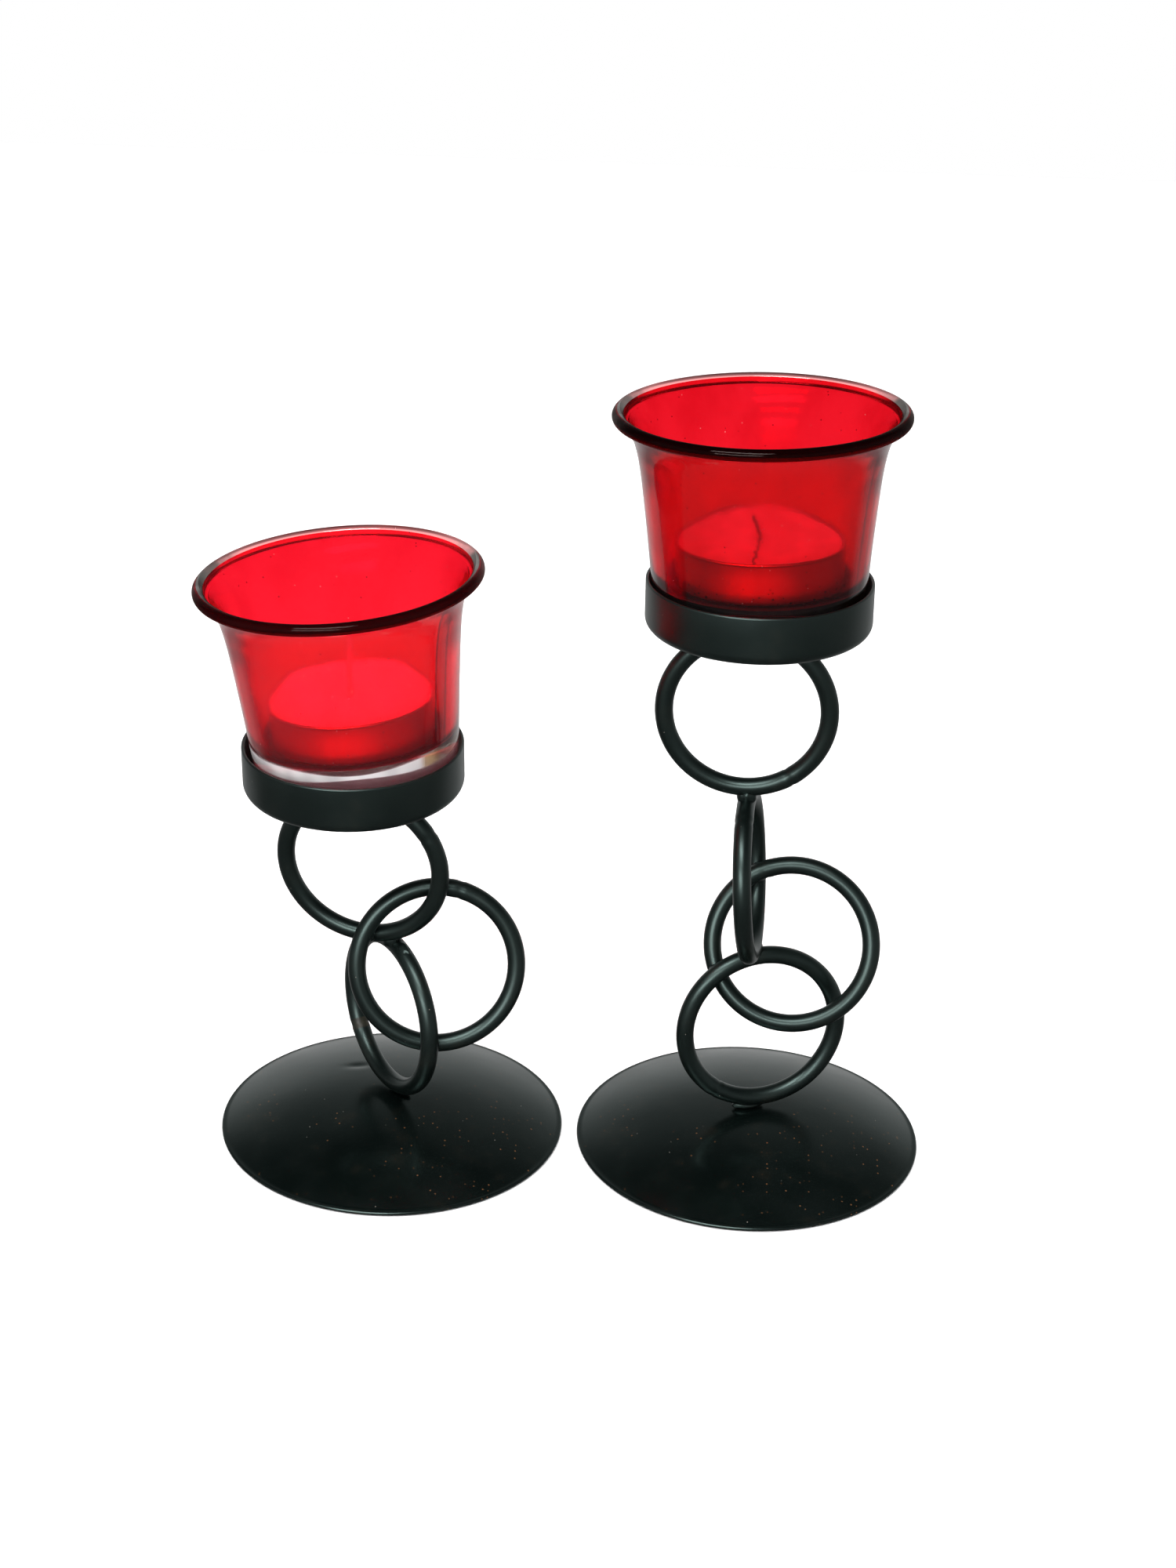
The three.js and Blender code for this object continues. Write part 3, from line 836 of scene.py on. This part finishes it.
def pan(prefix, look):
    """Drawn pan with a rounded corner and a trimmed lip."""
    place = turning_frame(prefix + "_pan")
    centre = PAN_RADIUS - PAN_CORNER
    half = PAN_SHEET / 2
    outline = [
        (0, 0), (6, 0), (14, 0), (20, 0),
        *arc(centre, PAN_CORNER, PAN_CORNER, -90, 0, 14),
        (PAN_RADIUS, PAN_HEIGHT * 0.6),
        *arc(PAN_RADIUS - half, PAN_HEIGHT - half, half, 0, 180, 10),
        (PAN_RADIUS - PAN_SHEET, PAN_HEIGHT * 0.6),
        *arc(centre, PAN_CORNER, PAN_CORNER - PAN_SHEET, 0, -90, 10),
        (20, PAN_SHEET), (10, PAN_SHEET), (0, PAN_SHEET),
    ]

    def shape(point):
        swell = noise.noise(Vector((point.x / 15, point.y / 15, PAN_SEED + point.z / 30))) * PAN_SWELL
        return widened(point, 1 + swell / PAN_RADIUS)

    piece = turned(prefix + "_pan_painted", outline, place, DISC_SIDES, [look], shape=shape)
    finish_piece(piece, prefix + "_holder", "black_paint", prefix + "_pan")


# ---------------------------------------------------------------- glass and tealight

def glass_cup(prefix, looks):
    """Glass with a thick foot and a rounded bead. looks are those of the clear glass outside and at the
    floor, of the bead, and of the stain inside.
    """
    place = turning_frame(prefix + "_glass_cup")
    foot = [(0, 0.35), (10, 0.3), (17, 0.1), (20.5, 0), *arc(21.9, 0.9, 0.9, -80, -8, 6)]
    outside = smooth_line(GLASS_OUTSIDE, 5)
    bead = arc(*BEAD_CENTRE, BEAD_RADIUS, -75, 80, 15)
    lip = arc(*BEAD_CENTRE, BEAD_RADIUS, 90, 190, 10)
    inside = smooth_line(GLASS_INSIDE, 5)
    floor = [(14, GLASS_FLOOR), (7, GLASS_FLOOR), (0, GLASS_FLOOR)]
    outline = foot + outside + bead + lip + inside + floor
    clear = len(foot) + len(outside)
    stained = clear + len(bead) + 6
    bare = len(outline) - len(floor)
    line_looks = [1 if clear <= i < stained else 2 if stained <= i < bare else 0
                  for i in range(len(outline) - 1)]
    seed = GLASS_SEED[prefix]

    def shape(point):
        ripple = noise.noise(Vector((point.x / 9, point.y / 9, seed + point.z / 14))) * GLASS_RIPPLE
        return widened(point, 1 + ripple / max(1.0, math.hypot(point.x, point.y)))

    piece = turned(prefix + "_glass", outline, place, GLASS_SIDES, looks, line_looks, shape)
    finish_piece(piece, prefix + "_glass", "red_glass", prefix + "_glass_cup")


def foil_cup(prefix, place, look):
    """Pressed cup with a rolled lip and soft wrinkles round its wall."""
    r, h, t = FOIL_RADIUS, FOIL_HEIGHT, FOIL_SHEET
    outline = [
        (0, 0), (8, 0), (15, 0), *arc(r - 1.3, 1.0, 1.0, -90, -8, 6),
        (r - 0.28, 3), (r - 0.26, 6), (r - 0.25, h - 0.8),
        *arc(r - 0.3, h - 0.3, 0.3, -60, 200, 12),
        (r - 0.25 - t, h - 0.8), (r - 0.3 - t, 5), *arc(r - 1.3, 1.1, 0.7, -10, -90, 6),
        (12, t), (0, t),
    ]

    def shape(point):
        a = math.atan2(point.y, point.x)
        radius = math.hypot(point.x, point.y)
        wrinkle = 0.04 * noise.noise(Vector((a * 6, 0, point.z / 9))) if radius > 16 else 0
        return widened(point, 1 - abs(wrinkle) / FOIL_RADIUS)

    piece = turned(prefix + "_tealight_foil", outline, place, TEALIGHT_SIDES, [look], shape=shape)
    finish_piece(piece, prefix + "_tealight", "foil", prefix + "_tealight_foil_cup")


def wax_fill(prefix, place, look):
    """Wax with a rim where it clung to the foil and a low cone round the wick."""
    hole = WICK_HOLE[prefix]
    outline = [
        (0, 0.75), (10, 0.75), *arc(WAX_RADIUS - 1.2, 1.8, 1.0, -90, 0, 6),
        (WAX_RADIUS - 0.1, 5), (WAX_RADIUS, WAX_TOP + 0.25), (WAX_RADIUS - 0.25, WAX_TOP + 0.12),
        (WAX_RADIUS - 0.9, WAX_TOP), (WAX_RADIUS - 2.5, WAX_TOP - 0.08),
        (12, WAX_TOP - 0.05), (9, WAX_TOP), (6, WAX_TOP + 0.02), (4, WAX_TOP - 0.05),
        (2.6, WAX_TOP - 0.12), (1.8, WAX_TOP + 0.05), (hole + 0.1, WAX_TOP + 0.25),
        (hole, WAX_TOP + 0.1), (hole, 5.2), (0, 5.0),
    ]
    seed = WAX_SEED[prefix]

    def shape(point):
        lift = noise.noise(Vector((point.x / 5, point.y / 5, seed))) * 0.10
        return point + Vector((0, 0, lift if WAX_TOP - 1 < point.z else 0))

    piece = turned(prefix + "_tealight_wax_fill", outline, place, TEALIGHT_SIDES, [look], shape=shape)
    finish_piece(piece, prefix + "_tealight", "wax", prefix + "_tealight_wax")


def braided_wick(prefix, place, look):
    """Cotton strands wound round the wick's line."""
    line = [Vector(p) for p in smooth_line(WICK_POINTS[prefix], 14)]
    thick = STRAND_RADIUS[prefix]
    verts, faces = [], []
    for strand in range(STRANDS):
        path = []
        for i, p in enumerate(line):
            a = 2 * math.pi * strand / STRANDS + i * STRAND_TWIST
            path.append(p + Vector((math.cos(a), math.sin(a), 0)) * thick * 0.95)
        thin = [thick * min(1.0, 0.35 + (len(path) - 1 - i) / 6) for i in range(len(path))]
        tube, sheet = swept(path, thin, 8)
        faces += [tuple(len(verts) + k for k in face) for face in sheet]
        verts += tube
    piece = add_object(prefix + "_tealight_wick_braid", verts, faces, place, [look])
    finish_piece(piece, prefix + "_tealight", "wick_cotton", prefix + "_tealight_wick")


# ---------------------------------------------------------------- studio

def camera():
    """The camera that frames the pair."""
    lens = bpy.data.cameras.new("camera")
    lens.lens = CAMERA_LENS
    lens.clip_start, lens.clip_end = 0.05, 50
    made = bpy.data.objects.new("camera", lens)
    heading_turn = Matrix.Rotation(math.radians(CAMERA_HEADING - 90), 4, "Z")
    tilt = Matrix.Rotation(math.radians(90 - CAMERA_PITCH), 4, "X")
    roll = Matrix.Rotation(math.radians(CAMERA_ROLL), 4, "Z")
    made.matrix_world = Matrix.Translation(CAMERA_PLACE) @ heading_turn @ tilt @ roll
    bpy.context.scene.collection.objects.link(made)
    bpy.context.scene.camera = made


def softbox(name, place, aim, width, height, power, mirrored=True):
    """A lamp of width by height metres at place, turned to aim. One that isn't mirrored leaves no
    highlight and isn't seen through the glass.
    """
    lamp = bpy.data.lights.new(name, "AREA")
    lamp.shape = "RECTANGLE"
    lamp.size = width
    lamp.size_y = height
    lamp.energy = power
    made = bpy.data.objects.new(name, lamp)
    made.location = place
    made.rotation_mode = "QUATERNION"
    made.rotation_quaternion = (Vector(aim) - Vector(place)).to_track_quat("-Z", "Y")
    made.visible_camera = False
    made.visible_glossy = mirrored
    made.visible_transmission = mirrored
    bpy.context.scene.collection.objects.link(made)


def floor():
    """Pale paper that takes the shadows but isn't seen in the paint or through the glass."""
    half = FLOOR_HALF
    mesh = bpy.data.meshes.new("floor")
    corners = [(-half, -half, 0), (half, -half, 0), (half, half, 0), (-half, half, 0)]
    mesh.from_pydata(corners, [], [(0, 1, 2, 3)])
    made = bpy.data.objects.new("floor", mesh)
    made.location.z = -FLOOR_DROP
    made.visible_glossy = False
    made.visible_transmission = False
    look, tree, shader, place = new_look("floor_paper")
    plug(tree, shader.inputs["Base Color"],
         mixed(tree, clouds(tree, place, size=40), PAPER_DARK, PAPER_PALE))
    shader.inputs["Roughness"].default_value = 0.9
    mesh.materials.append(look)
    bpy.context.scene.collection.objects.link(made)


def mirrored_room(tree, x, y, z):
    """Strength of the room's light, which the paint mirrors: a light band behind, the table's glow below
    it, and a dim wall in front.
    """
    horizon = mapped(tree, z, 0.80, 0.0, 0.02, 0.62)
    high = mapped(tree, z, 0.90, 0.70, 0.02, 0.19)
    behind = maths(tree, "MULTIPLY", maths(tree, "MAXIMUM", horizon, high),
                   mapped(tree, y, 0.45, 0.90, 0.10, 1.0))
    table = maths(tree, "MULTIPLY", mapped(tree, z, 0.1, -0.2), mapped(tree, y, 0.15, 0.55, 0.0, 0.32))
    slant = maths(tree, "MULTIPLY", x, 0.3)
    front_side = mapped(tree, maths(tree, "SUBTRACT", y, slant), 0.38, 0.32)
    wall = maths(tree, "MULTIPLY", mapped(tree, z, 0.6, 0.3, 0.02, 0.17),
                 mapped(tree, z, -0.4, -0.05, 0.2, 1.0))
    front = maths(tree, "MULTIPLY", wall, front_side)
    return maths(tree, "ADD", maths(tree, "MAXIMUM", behind, table), front)


def white_surround(tree, y, z):
    """Strength of what is seen straight, which is white, and of what is seen through glass, which is
    brightest ahead and behind, dimmer at the sides and dark overhead and underfoot.
    """
    level = maths(tree, "MULTIPLY", mapped(tree, z, 0.75, 0.50), mapped(tree, z, -0.85, -0.7))
    ahead = mapped(tree, maths(tree, "ABSOLUTE", y), 0.6, 0.85, 0.45, 1.3)
    path = tree.nodes.new("ShaderNodeLightPath")
    through = maths(tree, "MULTIPLY", path.outputs["Is Transmission Ray"],
                    maths(tree, "MULTIPLY", level, ahead))
    return maths(tree, "MAXIMUM", path.outputs["Is Camera Ray"], through)


def studio_world():
    """A white surround that is a softly shaded room for what the paint mirrors."""
    world = bpy.data.worlds.new("studio")
    bpy.context.scene.world = world
    world.use_nodes = True
    tree = world.node_tree
    x, y, z = axes(tree, tree.nodes.new("ShaderNodeTexCoord").outputs["Generated"])
    strength = maths(tree, "MAXIMUM", white_surround(tree, y, z), mirrored_room(tree, x, y, z))
    back = tree.nodes["Background"]
    tree.links.new(strength, back.inputs["Strength"])
    back.inputs["Color"].default_value = (1.0, 1.0, 1.0, 1.0)


# ---------------------------------------------------------------- the pair

def holder(prefix, disc_paint, wire_paint, scuffed, foil):
    """One holder: its stand, glass and tealight."""
    places = [ring_frame(node) for node in RINGS[prefix]]
    base_disc(prefix, disc_paint)
    for node, place, seam_at in zip(RINGS[prefix], places, SEAMS[prefix]):
        looks = [wire_paint, scuffed] if node in SCUFFED_RINGS else [wire_paint]
        ring(prefix, node, place, seam_at, looks)
    welds(prefix, places, wire_paint)
    pan(prefix, wire_paint)
    clear = clear_glass(prefix + "_glass_clear", **CLEAR_GLASS[prefix])
    bead = bead_with_painted_shade(prefix + "_glass_bead")
    film = red_film(prefix + "_red_film", **RED_FILM[prefix])
    glass_cup(prefix, [clear, bead, film])
    place = turning_frame(prefix + "_tealight_foil_cup")
    foil_cup(prefix, place, foil)
    wax_fill(prefix, place, candle_wax(prefix + "_wax", **WAX[prefix]))
    braided_wick(prefix, place, wick_cotton(prefix + "_wick", **WICK[prefix]))


camera()
glossy_black = black_paint("black_paint_disc", smooth=0.20, dull=0.26, rusty=0.25)
satin_black = black_paint("black_paint_wire_and_pan", smooth=0.32, dull=0.38, rusty=0.0)
rubbed_black = scuffed_paint()
aluminium = foil_metal()
holder("tall", glossy_black, satin_black, rubbed_black, aluminium)
holder("short", glossy_black, satin_black, rubbed_black, aluminium)
floor()
studio_world()
softbox("key", (-0.28, -0.70, 1.15), (0, 0, 0.05), width=0.85, height=0.30, power=10)
softbox("low_key", (-0.33, -1.08, 0.47), (0, 0, 0.1), width=0.75, height=0.22, power=6.5)
softbox("overhead", (0.0, -0.1, 1.6), (0, 0, 0), width=2.4, height=2.4, power=66, mirrored=False)
bpy.context.scene.view_settings.view_transform = "Standard"
